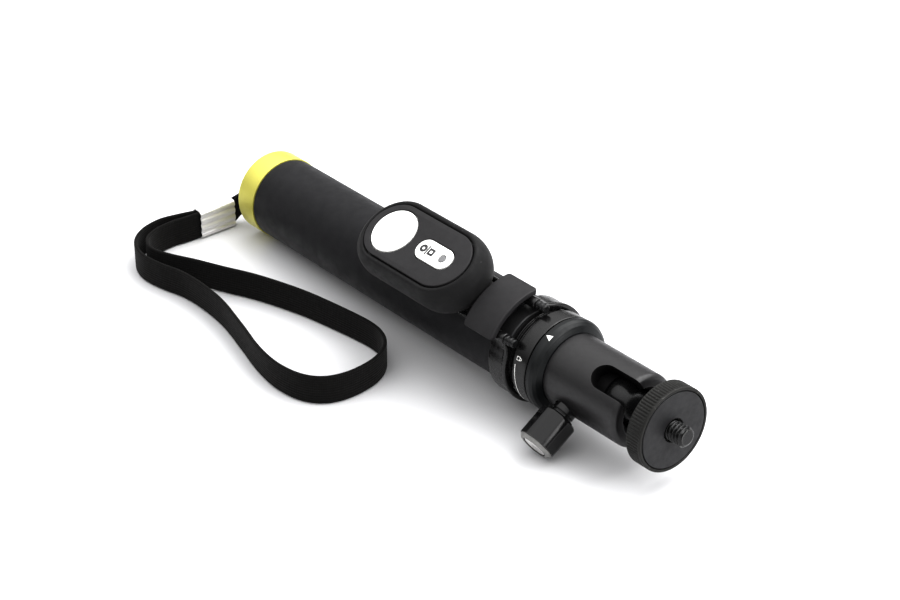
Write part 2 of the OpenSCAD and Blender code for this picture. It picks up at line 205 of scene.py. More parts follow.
TURNED = (2500, (1, 0.02, 0.02), 0.35)
LOOKS = {
    "lime_anodised": material("lime_anodised", (0.57, 0.535, 0.125), 0.38, metal=0.45,
                              mottle=0.04, mottle_scale=90, lines=TURNED, specular=0.6),
    "black_anodised": material("black_anodised", (0.0115, 0.0109, 0.0117), 0.38,
                               mottle_scale=500, grain=(5200, 0.09), specular=0.55),
    # the wheel's lighter edge colour is partly wear, partly painted highlight
    "wheel_black": material("wheel_black", (0.0110, 0.0108, 0.0098), 0.50, metal=0.1,
                            grain=(4200, 0.12), specular=0.36,
                            edge=(0.52, 0.62, 0.4, (0.07, 0.068, 0.06)), fleck=(1500, 0.70, 0.6)),
    "knob_black": material("knob_black", (0.0045, 0.0044, 0.0047), 0.17,
                           mottle_scale=400, grain=(2200, 0.03), specular=0.38, coat=0.08,
                           coat_rough=0.1, rough_swing=0.04),
    "ring_anodised": material("ring_anodised", (0.0066, 0.0076, 0.0082), 0.36, metal=0.1,
                              grain=(4200, 0.05), lines=TURNED, specular=0.34),
    "knob_rim": material("knob_rim", (0.27, 0.268, 0.26), 0.44, metal=0.9, mottle=0.15,
                         mottle_scale=900, grain=(5200, 0.15)),
    "bare_aluminium": material("bare_aluminium", (0.72, 0.73, 0.74), 0.3, metal=1.0, mottle=0.04,
                               lines=(1800, (0.02, 1, 1), 0.3)),
    "bright_steel": material("bright_steel", (0.86, 0.845, 0.835), 0.36, metal=1.0, mottle=0.03,
                             lines=(1500, (0.03, 1, 1), 0.06), rough_swing=0.05),
    "dark_aluminium": material("dark_aluminium", (0.035, 0.035, 0.036), 0.38, metal=0.3,
                               lines=TURNED),
    "grip_rubber": material("grip_rubber", (0.0094, 0.0092, 0.0106), 0.54, mottle=0.08,
                            mottle_scale=160, grain=(7000, 0.22), sheen=0.04, specular=0.22,
                            fleck=(2600, 0.74, 0.3)),
    "sleeve_silicone": material("sleeve_silicone", (0.0100, 0.0098, 0.0102), 0.6, mottle=0.10,
                                mottle_scale=220, grain=(5200, 0.18), sheen=0.04, specular=0.20,
                                fleck=(1300, 0.735, 0.6)),
    "charcoal_plastic": material("charcoal_plastic", (0.0240, 0.0232, 0.0244), 0.48, mottle=0.06,
                                 grain=(4800, 0.16), specular=0.25),
    # the black plastic's lighter edge colour is partly wear, partly painted highlight
    "black_plastic": material("black_plastic", (0.0052, 0.0050, 0.0052), 0.24, mottle=0.10,
                              grain=(3000, 0.08), specular=0.5,
                              edge=(0.53, 0.62, 0.3, (0.09, 0.09, 0.09))),
    # painted shade: a darker, duller copy of the black finish for the bore, the slot and parts deep in the head
    "bore_painted_shade": material("bore_painted_shade", (0.0035, 0.0034, 0.0036), 0.6, mottle=0.2,
                           mottle_scale=600, grain=(3000, 0.1), specular=0.12),
    "ferrule_steel": material("ferrule_steel", (0.66, 0.65, 0.645), 0.42, metal=0.6, mottle=0.03,
                              rough_swing=0.05),
    "natural_plastic": material("natural_plastic", (0.75, 0.74, 0.70), 0.4, mottle=0.03),
    "white_plastic": material("white_plastic", (0.88, 0.88, 0.86), 0.36, mottle=0.012,
                              grain=(3000, 0.03), specular=0.45),
    "grey_lens": material("grey_lens", (0.15, 0.15, 0.155), 0.25, mottle=0.05, coat=0.6),
    "icon_grey": material("icon_grey", (0.030, 0.030, 0.032), 0.5, mottle=0.05),
    "mark_white": material("mark_white", (0.80, 0.80, 0.78), 0.5, mottle=0.03),
    "green_board": material("green_board", (0.03, 0.18, 0.09), 0.4, mottle=0.15),
    # the black steel's lighter edge colour is partly wear, partly painted highlight
    "black_steel": material("black_steel", (0.0095, 0.0095, 0.0100), 0.25, metal=0.3,
                            grain=(2600, 0.05), edge=(0.53, 0.62, 0.5, (0.22, 0.22, 0.21))),
    "pad_rubber": material("pad_rubber", (0.0180, 0.0178, 0.0190), 0.52, mottle=0.06,
                           grain=(6200, 0.16), specular=0.38, fleck=(1500, 0.75, 0.35)),
    "black_webbing": material("black_webbing", (0.0052, 0.0047, 0.0043), 0.86, mottle=0.15,
                              mottle_scale=420, grain=(3500, 0.3), sheen=0.06, specular=0.15,
                              weave=(1500, 1150, 0.7)),
}


# ---- building blocks ---------------------------------------------------------------------
def finish_piece(name, mesh, look, body, nodes, angle=38):
    """Links a mesh as a piece with its material and body, and hides the CAD nodes it stands for."""
    mesh.materials.append(LOOKS[look])
    piece = bpy.data.objects.new(name, mesh)
    bpy.context.scene.collection.objects.link(piece)
    mesh.polygons.foreach_set("use_smooth", [True] * len(mesh.polygons))
    mesh.set_sharp_from_angle(angle=math.radians(angle))
    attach(piece, body)
    if nodes:
        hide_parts(*nodes)
    return piece


def from_bmesh(name, bm, place):
    """Welds, orients and places a bmesh, and returns it as a mesh."""
    bmesh.ops.remove_doubles(bm, verts=bm.verts, dist=1e-5)
    bmesh.ops.recalc_face_normals(bm, faces=bm.faces)
    mesh = bpy.data.meshes.new(name)
    bm.to_mesh(mesh)
    bm.free()
    mesh.transform(place)
    return mesh


NEARLY_STRAIGHT = 1.55


def rounded(corners, steps=6):
    """Closed outline from (x, y, fillet radius) corners, each fillet drawn as an arc."""
    points = []
    for i, (x, y, r) in enumerate(corners):
        here = Vector((x, y))
        before, after = Vector(corners[i - 1][:2]), Vector(corners[(i + 1) % len(corners)][:2])
        if r <= 0:
            points.append(here)
            continue
        a, b = (before - here).normalized(), (after - here).normalized()
        half = a.angle(b) / 2
        if half > NEARLY_STRAIGHT:
            points += [here] * (steps + 1)
            continue
        cut = min(r / math.tan(half), 0.49 * min((before - here).length, (after - here).length))
        r = cut * math.tan(half)
        centre = here + (a + b).normalized() * (r / math.sin(half))
        start, end = here + a * cut - centre, here + b * cut - centre
        sweep = start.angle_signed(end)
        for k in range(steps + 1):
            t = -sweep * k / steps
            points.append(centre + Vector((start.x * math.cos(t) - start.y * math.sin(t),
                                           start.x * math.sin(t) + start.y * math.cos(t))))
    return points


def lathe_bmesh(corners, seg=160, steps=6, shape=None):
    """Turns a closed outline of (along, radius, fillet) corners about +X."""
    outline = rounded(corners, steps)
    bm = bmesh.new()
    rings = []
    for k in range(seg):
        t = 2 * math.pi * k / seg
        ring = []
        for p in outline:
            r = shape(p.x, p.y, t) if shape else p.y
            ring.append(bm.verts.new((p.x, r * math.cos(t), r * math.sin(t))))
        rings.append(ring)
    n = len(outline)
    for k in range(seg):
        a, b = rings[k], rings[(k + 1) % seg]
        for i in range(n):
            j = (i + 1) % n
            if max(outline[i].y, outline[j].y) > 1e-6:
                bm.faces.new((a[i], a[j], b[j], b[i]))
    return bm


def lathe(name, corners, look, body, nodes, place=STICK, seg=160, steps=6, shape=None,
          angle=38):
    """A turned piece; see lathe_bmesh for corners and shape, finish_piece for the rest."""
    return finish_piece(name, from_bmesh(name, lathe_bmesh(corners, seg, steps, shape), place),
                        look, body, nodes, angle)


def pill_outline(length, width, count=96):
    """Points round a rounded-end outline, long side along X."""
    r, half = width / 2, (length - width) / 2
    points = []
    for k in range(count):
        t = 2 * math.pi * (k + 0.5) / count
        points.append(Vector((math.copysign(half, math.cos(t)) + r * math.cos(t),
                              r * math.sin(t))))
    return points


def stack(name, rings, place, caps=True):
    """Skin over rings of equal point count; each ring is a list of 3-D points."""
    bm = bmesh.new()
    made = [[bm.verts.new(p) for p in ring] for ring in rings]
    for low, high in zip(made, made[1:]):
        for i in range(len(low)):
            j = (i + 1) % len(low)
            bm.faces.new((low[i], low[j], high[j], high[i]))
    if caps:
        bm.faces.new(made[0])
        bm.faces.new(made[-1])
    return from_bmesh(name, bm, place)


def plate(name, outlines, low, high, edge, place):
    """Flat plate with holes and rounded edges, from closed 2-D outlines at heights low..high."""
    curve = bpy.data.curves.new(name, "CURVE")
    curve.dimensions, curve.fill_mode = "2D", "BOTH"
    curve.extrude = (high - low) / 2 - edge
    curve.bevel_depth, curve.bevel_resolution, curve.offset = edge, 3, -edge
    for outline in outlines:
        spline = curve.splines.new("POLY")
        spline.points.add(len(outline) - 1)
        for point, p in zip(spline.points, outline):
            point.co = (p[0], p[1], 0, 1)
        spline.use_cyclic_u = True
    temp = bpy.data.objects.new(name + "_curve", curve)
    bpy.context.scene.collection.objects.link(temp)
    mesh = bpy.data.meshes.new_from_object(
        temp.evaluated_get(bpy.context.evaluated_depsgraph_get()))
    bpy.data.objects.remove(temp)
    mesh.materials.clear()
    mesh.transform(Matrix.Translation((0, 0, (low + high) / 2)))
    bm = bmesh.new()
    bm.from_mesh(mesh)
    bpy.data.meshes.remove(mesh)
    return from_bmesh(name, bm, place)


def shifted(outline, dx):
    return [Vector((p[0] + dx, p[1])) for p in outline]


def circle(r, count=64):
    return [Vector((r * math.cos(2 * math.pi * k / count), r * math.sin(2 * math.pi * k / count)))
            for k in range(count)]


def cut(mesh_target, cutters):
    """Takes each cutter mesh out of the target mesh exactly."""
    target = bpy.data.objects.new("cut_target", mesh_target)
    bpy.context.scene.collection.objects.link(target)
    for cutter in cutters:
        tool = bpy.data.objects.new("cut_tool", cutter)
        bpy.context.scene.collection.objects.link(tool)
        modifier = target.modifiers.new("cut", "BOOLEAN")
        modifier.operation, modifier.solver, modifier.object = "DIFFERENCE", "EXACT", tool
        result = bpy.data.meshes.new_from_object(
            target.evaluated_get(bpy.context.evaluated_depsgraph_get()))
        target.modifiers.clear()
        target.data = result
        bpy.data.objects.remove(tool)
    result = target.data
    bpy.data.objects.remove(target)
    result.materials.clear()
    return result


def soften(mesh, width):
    """Rounds the sharp edges that a cut has left."""
    temp = bpy.data.objects.new("soften", mesh)
    bpy.context.scene.collection.objects.link(temp)
    bevel = temp.modifiers.new("bevel", "BEVEL")
    bevel.width, bevel.segments, bevel.limit_method = width, 3, "ANGLE"
    bevel.angle_limit, bevel.use_clamp_overlap = math.radians(35), True
    result = bpy.data.meshes.new_from_object(
        temp.evaluated_get(bpy.context.evaluated_depsgraph_get()))
    bpy.data.objects.remove(temp)
    return result


def joined(name, meshes):
    """One mesh of several, which it uses up."""
    bm = bmesh.new()
    for mesh in meshes:
        bm.from_mesh(mesh)
        bpy.data.meshes.remove(mesh)
    made = bpy.data.meshes.new(name)
    bm.to_mesh(made)
    bm.free()
    return made


def smooth_route(points, per):
    """Catmull-Rom curve through the points, with per steps from each to the next."""
    made = []
    last = len(points) - 1
    for i in range(last):
        a, b = Vector(points[max(i - 1, 0)]), Vector(points[i])
        c, d = Vector(points[i + 1]), Vector(points[min(i + 2, last)])
        for k in range(per):
            t = k / per
            made.append(0.5 * (2 * b + (c - a) * t + (2 * a - 5 * b + 4 * c - d) * t * t
                               + (3 * b - a - 3 * c + d) * t ** 3))
    made.append(Vector(points[last]))
    return made


# ---- wrist strap: the route of the CAD solid, in metres ------------------------------------
STRAP_ROUTE = [(-0.1129, -0.0145), (-0.113, -0.0205), (-0.1146, -0.027), (-0.1156, -0.034),
               (-0.1134, -0.042), (-0.108, -0.048), (-0.1, -0.0506), (-0.091, -0.0496),
               (-0.081, -0.0468), (-0.07, -0.046), (-0.057, -0.0469), (-0.043, -0.0499),
               (-0.029, -0.0532), (-0.017, -0.0544), (-0.007, -0.0526), (-0.0008, -0.0478),
               (0.0016, -0.04), (0.0006, -0.03), (-0.0034, -0.0226), (-0.0094, -0.0186),
               (-0.018, -0.0176), (-0.033, -0.02), (-0.048, -0.0234), (-0.063, -0.0286),
               (-0.075, -0.0344), (-0.085, -0.039), (-0.094, -0.0438), (-0.1014, -0.046),
               (-0.1074, -0.0436), (-0.1108, -0.038), (-0.1118, -0.031), (-0.1114, -0.0265),
               (-0.1111, -0.0205), (-0.1111, -0.0145)]
STRAP_WIDTH, STRAP_THICK, STRAP_Z = 0.010, 0.00115, 0.0053


RIB_DEPTH, WAVE_RATE, WAVE_LEAN = 0.045, 55, 0.06


def band(name, centres, width, thick, ribs=9):
    """Flat webbing standing on its edge along 3-D centres, with woven ribs and round selvedges."""
    half_w, half_t = width / 2, thick / 2
    section = []
    side_steps = ribs * 4
    for sign in (1, -1):
        for k in range(side_steps + 1):
            z = (half_w - half_t) * (1 - 2 * k / side_steps) * sign
            rib = 0.5 - 0.5 * math.cos(2 * math.pi * ribs * k / side_steps)
            dip = RIB_DEPTH * half_t * 2 * rib
            section.append((sign * (half_t - dip), z))
        for k in range(1, 6):
            t = math.pi * k / 6
            section.append((sign * half_t * math.cos(t),
                            -sign * (half_w - half_t) - sign * half_t * math.sin(t)))
    bm = bmesh.new()
    uv = bm.loops.layers.uv.new("weave")
    rings, along = [], [0.0]
    for i, p in enumerate(centres):
        ahead = centres[min(i + 1, len(centres) - 1)] - centres[max(i - 1, 0)]
        normal = Vector((-ahead.y, ahead.x, 0)).normalized()
        lean = noise.noise(p * WAVE_RATE) * WAVE_LEAN
        if i:
            along.append(along[-1] + (p - centres[i - 1]).length)
        rings.append([bm.verts.new(p + normal * (s + lean * (z + half_w) * 0.25)
                                   + Vector((0, 0, z))) for s, z in section])
    count = len(section)
    for i in range(len(rings) - 1):
        for k in range(count):
            j = (k + 1) % count
            face = bm.faces.new((rings[i][k], rings[i][j], rings[i + 1][j], rings[i + 1][k]))
            where = ((along[i], section[k]), (along[i], section[j]),
                     (along[i + 1], section[j]), (along[i + 1], section[k]))
            for loop, (u, (_, z)) in zip(face.loops, where):
                loop[uv].uv = (u, z)
    bm.faces.new(rings[0])
    bm.faces.new(rings[-1])
    bmesh.ops.recalc_face_normals(bm, faces=bm.faces)
    mesh = bpy.data.meshes.new(name)
    bm.to_mesh(mesh)
    bm.free()
    return mesh


strap_line = [Vector((p.x, p.y, STRAP_Z)) for p in smooth_route(STRAP_ROUTE, 8)]
strap = finish_piece("webbing", band("webbing", strap_line, STRAP_WIDTH, STRAP_THICK),
                     "black_webbing", "handle", ["wrist_strap"], 60)

# two tails of thinner webbing from the ferrule into the slots of the cap
CAP_MIDDLE = STICK @ Vector((-9.3, 0, 0))
tail_meshes = []
for s in (-1, 1):
    into = CAP_MIDDLE.y + s * 0.0026
    route = smooth_route([(-0.112 - s * 0.0009, -0.0100, 0.0052),
                          (-0.112 - s * 0.0009, -0.0066, 0.0054),
                          (-0.1100 - s * 0.0003, into - 0.0042, 0.0096),
                          (-0.1056, into, 0.0143), (-0.0985, into, 0.0144)], 6)
    tail_meshes.append(band(f"tail_{s}", route, 0.0088, 0.0010, ribs=7))
cap_loop = finish_piece("cap_loop", joined("cap_loop", tail_meshes), "black_webbing", "handle",
                        ["strap_loop"], 60)


FERRULE_X, FERRULE_Z, FERRULE_ROUND = 2.55, 5.28, 1.5
GROOVE_AT, GROOVE_DEPTH, GROOVE_REACH = (-2.7, 0.0, 2.7), 0.40, 1.1


def ferrule_section():
    """Rounded rectangle in (x, z) with three pressed grooves on each wide face."""
    outline = rounded([(x * FERRULE_X, z * FERRULE_Z, FERRULE_ROUND)
                       for x, z in ((-1, -1), (1, -1), (1, 1), (-1, 1))])
    dense = []
    for i, p in enumerate(outline):
        q = outline[(i + 1) % len(outline)]
        steps = max(1, int((q - p).length / 0.12))
        dense += [p.lerp(q, k / steps) for k in range(steps)]
    made = []
    for p in dense:
        x = p.x
        if abs(p.x) > FERRULE_X * 0.8:
            for z in GROOVE_AT:
                d = abs(p.y - z)
                if d < GROOVE_REACH:
                    dip = 0.5 + 0.5 * math.cos(math.pi * d / GROOVE_REACH)
                    x -= math.copysign(GROOVE_DEPTH * dip, x)
        made.append(Vector((x, p.y)))
    return made


FERRULE_AT = TABLE @ Matrix.Translation((-112, 0, 5.4))
ferrule_line = ferrule_section()
ferrule_rings = []
for y, wall in ((-7.1, 0.4), (-6.4, 0.4), (-6.3, 0.2), (-6.4, 0.0), (-20.4, 0.0), (-20.5, 0.2),
                (-20.4, 0.4), (-19.7, 0.4)):
    ferrule_rings.append([Vector((p.x * (1 - wall / FERRULE_X), y, p.y * (1 - wall / FERRULE_Z)))
                          for p in ferrule_line])
ferrule = finish_piece("ferrule", stack("ferrule", ferrule_rings, FERRULE_AT, caps=False),
                       "ferrule_steel", "handle", ["strap_ferrule"], 50)

# ---- handle --------------------------------------------------------------------------------
cap_mesh = from_bmesh("cap_body", lathe_bmesh(
    [(-9.3, 0, 0), (-9.3, 14.3, 1.3), (0, 14.3, 0.15), (0, 12.7, 0), (-6.3, 12.7, 0.5),
     (-6.3, 0, 0)], 160, 8), Matrix.Identity(4))
slots = []
for s in (-1, 1):
    outline = shifted([p.yx for p in pill_outline(10, 2.2, 32)], s * 2.7)
    slots.append(stack("slot_tool", [[Vector((x, p.x, p.y)) for p in outline]
                                     for x in (-12, -5)],
                       Matrix.Rotation(math.radians(-32), 4, "X")))
cap_mesh = cut(cap_mesh, slots)
cap_mesh.transform(STICK)
finish_piece("lime_cap", cap_mesh, "lime_anodised", "handle", ["end_cap"], 30)

lathe("grip", [(0.1, 12.6, 0), (0.1, 14.0, 0.45), (126.8, 14.0, 0.6), (126.8, 12.6, 0)],
      "grip_rubber", "handle", ["grip_sleeve"], seg=224)
lathe("bezel", [(127.0, 12.6, 0), (127.0, 13.8, 0.2), (132.4, 13.8, 0.5), (132.4, 12.6, 0)],
      "dark_aluminium", "handle", ["front_bezel"])
lathe("collar", [(132.6, 12.6, 0), (132.6, 13.3, 0), (133.9, 13.3, 0.15), (134.1, 13.8, 0.2),
                 (134.7, 13.8, 0.2), (134.9, 13.3, 0.15), (135.6, 13.3, 0.15),
                 (135.8, 13.8, 0.2), (136.4, 13.8, 0.2), (136.6, 13.3, 0.15),
                 (137.4, 13.3, 0.1), (137.4, 15.2, 0.5), (143.2, 15.2, 0.35), (143.2, 11.5, 0),
                 (134.2, 11.5, 0), (134.2, 12.6, 0)],
      "black_plastic", "handle", ["lock_collar"], seg=192)


COLLAR_R, COLLAR_END = 15.2, 143.4
RING_SURFACE = ((143.9, 15.3), (145.2, 15.3), (146.2, 14.9), (147.1, 14.0), (148.0, 12.3))


def surface_radius(x):
    """Radius of the collar band and index ring, for the printed marks on them."""
    if x < COLLAR_END:
        return COLLAR_R
    for (x0, r0), (x1, r1) in zip(RING_SURFACE, RING_SURFACE[1:]):
        if x <= x1:
            return r0 + (r1 - r0) * max(0, (x - x0) / (x1 - x0))
    return RING_SURFACE[-1][1]


def wrapped(x, angle, lift):
    """Point just off the surface at x, at an angle from +Z towards -Y."""
    r = surface_radius(x) + lift
    a = math.radians(angle)
    return (x, -r * math.sin(a), r * math.cos(a))


def printed(name, strips, body, lift=0.03):
    """Thin print wrapped on the collar: strips of (along, angle) rows, angle from +Z to -Y."""
    bm = bmesh.new()
    for rows in strips:
        top = [[bm.verts.new(wrapped(x, a, lift)) for x, a in row] for row in rows]
        low = [[bm.verts.new(wrapped(x, a, -0.1)) for x, a in row] for row in rows]
        for layer in (top, low):
            for r0, r1 in zip(layer, layer[1:]):
                for k in range(len(r0) - 1):
                    bm.faces.new((r0[k], r0[k + 1], r1[k + 1], r1[k]))
        rim_top, rim_low = ([row[0] for row in layer] + layer[-1][1:]
                            + [row[-1] for row in layer[-2::-1]] + layer[0][-2:0:-1]
                            for layer in (top, low))
        for k in range(len(rim_top)):
            j = (k + 1) % len(rim_top)
            bm.faces.new((rim_top[k], rim_top[j], rim_low[j], rim_low[k]))
    return finish_piece(name, from_bmesh(name, bm, STICK), "mark_white", body, [])


def stroke(points, width):
    """A printed line of the given width along (along mm, angle) points, as one strip."""
    to_mm = math.radians(1) * COLLAR_R
    flat = [Vector((x, a * to_mm)) for x, a in points]
    rows = []
    for i, p in enumerate(flat):
        d = (flat[min(i + 1, len(flat) - 1)] - flat[max(i - 1, 0)]).normalized()
        n = Vector((-d.y, d.x)) * width / 2
        rows.append([((p + n).x, (p + n).y / to_mm), ((p - n).x, (p - n).y / to_mm)])
    return rows


arc = [(138.7 + 0.35 * math.sin(math.pi * k / 36), 44 + 60 * k / 36) for k in range(37)]
LOCK_X, LOCK_A, DEG = 139.6, 36.0, 3.77      # DEG is the degrees to a millimetre round
body_box = [(LOCK_X + dx, LOCK_A + dy * DEG) for dx, dy in
            ((-0.75, -0.55), (-0.75, 0.55), (0.45, 0.55), (0.45, -0.55), (-0.75, -0.55))]
shackle = [(LOCK_X + 0.45 + 0.75 * math.sin(math.pi * k / 12),
            LOCK_A - 0.4 * DEG * math.cos(math.pi * k / 12)) for k in range(13)]
printed("lock_mark", [stroke(arc, 0.28), stroke(body_box, 0.22), stroke(shackle, 0.2)],
        "handle")
POINTER_APEX, POINTER_BASE, POINTER_HALF, POINTER_TURN = 144.45, 147.05, 5.2, -3.0
pointer = []
for k in range(13):
    t = k / 12
    x = POINTER_APEX + (POINTER_BASE - POINTER_APEX) * t
    half = max(0.02, POINTER_HALF * t)
    pointer.append([(x, POINTER_TURN + half * s) for s in (-1, -0.5, 0, 0.5, 1)])
printed("pointer_mark", [pointer], "head", lift=0.04)

# ---- head ----------------------------------------------------------------------------------
lathe("dial_ring", [(143.7, 10, 0), (143.7, 15.3, 0.3), (145.3, 15.3, 0.5), (146.3, 14.85, 0.8),
                    (147.2, 13.95, 0.9), (148.0, 12.25, 0.15), (148.0, 10, 0)],
      "ring_anodised", "head", ["index_ring"], seg=192, angle=30)
# the barrel has a ring each millimetre, so that the cuts disturb its shading only nearby
HOUSING_R = 11.9
housing = from_bmesh("housing", lathe_bmesh(
    [(143.9, 9.0, 0), (143.9, 10.0, 0), (148.0, 10.0, 0), (148.0, HOUSING_R, 0.2)]
    + [(x, HOUSING_R, 0) for x in range(149, 175)]
    + [(179.0, HOUSING_R, 4.0), (179.0, 8.3, 0.4), (176.4, 6.3, 0), (175.2, 6.3, 0),
       (175.2, 7.6, 0), (156.5, 7.6, 0), (156.5, 9.0, 0)], 160, 10), Matrix.Identity(4))
SLOT_END, SLOT_HALF = 168.4, 4.15
slot_tool = stack("slot_tool", [[Vector((p.x, p.y, z)) for p in
                                 shifted(pill_outline(60, 2 * SLOT_HALF, 96),
                                         SLOT_END + 30 - SLOT_HALF)] for z in (0, 14)],
                  Matrix.Identity(4))
neck_tool = stack("neck_tool", [[Vector((KNOB_X + p.x, y, p.y)) for p in circle(3.9, 64)]
                                for y in (-14, -9.9)], Matrix.Identity(4))
housing = soften(cut(housing, [slot_tool, neck_tool]), 0.22)
# faces inside the bore and slot, which get the bore's painted shade
inner = [math.hypot(f.center.y, f.center.z) < 11.45 and 150 < f.center.x < 178.2
         for f in housing.polygons]
housing.transform(STICK)
finish_piece("ball_housing", housing, "black_anodised", "head", ["head_housing"],
             35)
housing.materials.append(LOOKS["bore_painted_shade"])
housing.polygons.foreach_set("material_index", [int(i) for i in inner])

BALL_X, BALL_R, STEM_R = 171.0, 7.2, 2.4
arc_points = [(BALL_X + BALL_R * math.cos(t), BALL_R * math.sin(t), 0)
              for t in [math.pi - math.pi * k / 40 for k in range(0, 38)]
              if BALL_R * math.sin(t) > STEM_R or t > 1.6]
lathe("ball", [(BALL_X - BALL_R, 0, 0)] + arc_points[1:]
      + [(BALL_X + 6.9, STEM_R, 0.5), (185.3, STEM_R, 0.2), (185.3, 1.65, 0), (176.0, 1.65, 0),
         (176.0, 0, 0)],
      "black_steel", "ball", ["ball_stem"], seg=96, steps=4)

# ---- camera screw and wheel ------------------------------------------------------------------
THREAD_PITCH, THREAD_DEPTH, SCREW_R, SCREW_TIP = 1.27, 0.62, 3.175, 197.0
THREAD_START, SHANK_R, THREAD_ROWS = 191.3, 1.6, 84
SCREW_TURNS = [2 * math.pi * i / 96 for i in range(96)]


def thread_radius(x, t):
    """Radius of the quarter-inch thread at x and turn t, run out near the wheel and the tip."""
    phase = (x / THREAD_PITCH - t / (2 * math.pi)) % 1
    groove = max(0.0, 1 - abs(phase - 0.5) / 0.36)
    tip = max(0.0, x - (SCREW_TIP - 0.65))
    run_out = min(1.0, max(0.0, (x - THREAD_START) / 0.3))
    return SCREW_R - THREAD_DEPTH * groove * run_out - tip * 0.9


def screw_ring(x, radius):
    """One ring of the screw at x; radius is a function of x and the turn."""
    return [(x, radius(x, t) * math.cos(t), radius(x, t) * math.sin(t)) for t in SCREW_TURNS]


screw_rings = [screw_ring(x, lambda x, t: SHANK_R) for x in (176.4, 176.45, 185.6)]
for k in range(THREAD_ROWS + 1):
    screw_rings.append(screw_ring(185.62 + (SCREW_TIP - 185.62) * (k / THREAD_ROWS),
                                  thread_radius))
screw_rings.append(screw_ring(SCREW_TIP, lambda x, t: 1.9))
finish_piece("stud", stack("stud", screw_rings, STICK), "black_steel", "mount_screw",
             ["camera_screw"], 50)

WHEEL_X, WHEEL_END, WHEEL_R, TEETH = 185.7, 191.5, 13.5, 84


def knurl(x, r, t):
    """Straight knurling cut into the rim of the wheel, faded out at both edges."""
    if r < WHEEL_R - 0.45:
        return r
    fade = min(1.0, max(0.0, (x - WHEEL_X - 0.25) / 0.35)) \
        * min(1.0, max(0.0, (WHEEL_END - 0.75 - x) / 0.35))
    phase = (t * TEETH / (2 * math.pi)) % 1
    groove = max(0.0, 1 - abs(phase - 0.5) / 0.33)
    return r - 0.34 * groove * fade


lathe("wheel", [(WHEEL_X, 3.4, 0.1), (WHEEL_X, WHEEL_R, 0.55), (185.95, WHEEL_R, 0),
                (186.4, WHEEL_R, 0), (190.2, WHEEL_R, 0), (190.7, WHEEL_R, 0),
                (191.4, WHEEL_R, 0.75), (191.4, 12.5, 0.2), (190.6, 12.5, 0), (190.6, 3.4, 0)],
      "wheel_black", "wheel", ["knurled_wheel"], seg=TEETH * 8, steps=4,
      shape=knurl, angle=60)
lathe("pad", [(190.6, 3.7, 0), (190.6, 12.25, 0), (WHEEL_END, 12.25, 0.35),
              (WHEEL_END, 3.7, 0.3)],
      "pad_rubber", "wheel", ["wheel_pad"], seg=160)

# ---- lock knob ---------------------------------------------------------------------------------
KNOB_FLAT = 5.72


def six_flats(flat, t):
    """Radius at turn t of a hexagon whose flats lie at that distance from its axis."""
    return flat / math.cos(((t + math.pi / 6) % (math.pi / 3)) - math.pi / 6)


def hexagon(x, r, t):
    """Six soft flats on the knob between its turned ends."""
    return r if r < 5.0 else min(r, six_flats(KNOB_FLAT, t))


lathe("knob_body", [(14.4, 2.0, 0), (14.4, 5.2, 0.2), (15.1, 6.1, 0.6), (25.25, 6.1, 0),
                    (26.35, 4.95, 0.1), (26.4, 3.95, 0.15), (25.0, 3.95, 0), (25.0, 2.0, 0)],
      "knob_black", "knob", ["lock_knob"], place=KNOB, seg=192, shape=hexagon,
      angle=25)
disc = from_bmesh("disc", lathe_bmesh([(25.2, 0, 0), (25.2, 3.8, 0), (26.25, 3.8, 0.25),
                                       (26.25, 0, 0)], 96), Matrix.Identity(4))
disc = cut(disc, [stack("driver_slot", [[Vector((x, y, z)) for y, z in
                                         ((-1.1, -0.4), (1.1, -0.4), (1.1, 0.4), (-1.1, 0.4))]
                                        for x in (25.6, 27)], Matrix.Identity(4))])
disc.transform(KNOB)
finish_piece("knob_end", disc, "bright_steel", "knob", ["knob_cap"])
lathe("knob_rim", [(25.2, 5.2, 0), (25.2, 6.25, 0), (26.40, 5.02, 0.05), (26.42, 4.1, 0.05),
                   (26.3, 4.1, 0)],
      "knob_rim", "knob", [], place=KNOB, seg=192,
      shape=lambda x, r, t: min(r, 6.12, six_flats(KNOB_FLAT + 0.02, t)))
lathe("knob_neck", [(1, 0, 0), (2.4, 1.2, 0.2), (3, 2.5, 0.2), (10.1, 2.5, 0), (10.1, 3.7, 0),
                    (13.2, 3.7, 0.15), (13.4, 3.35, 0), (13.6, 3.35, 0), (13.8, 3.7, 0.15),
                    (14.3, 3.7, 0.1), (14.3, 2.0, 0), (22.4, 2.0, 0), (22.4, 0, 0)],
      "knob_black", "knob", ["knob_screw"], place=KNOB, seg=96)

# ---- clip ----------------------------------------------------------------------------------
def polar(x, angle, r):
    """Point of the stick at an angle from +Z towards -Y, in its own frame."""
    a = math.radians(angle)
    return Vector((x, -r * math.sin(a), r * math.cos(a)))


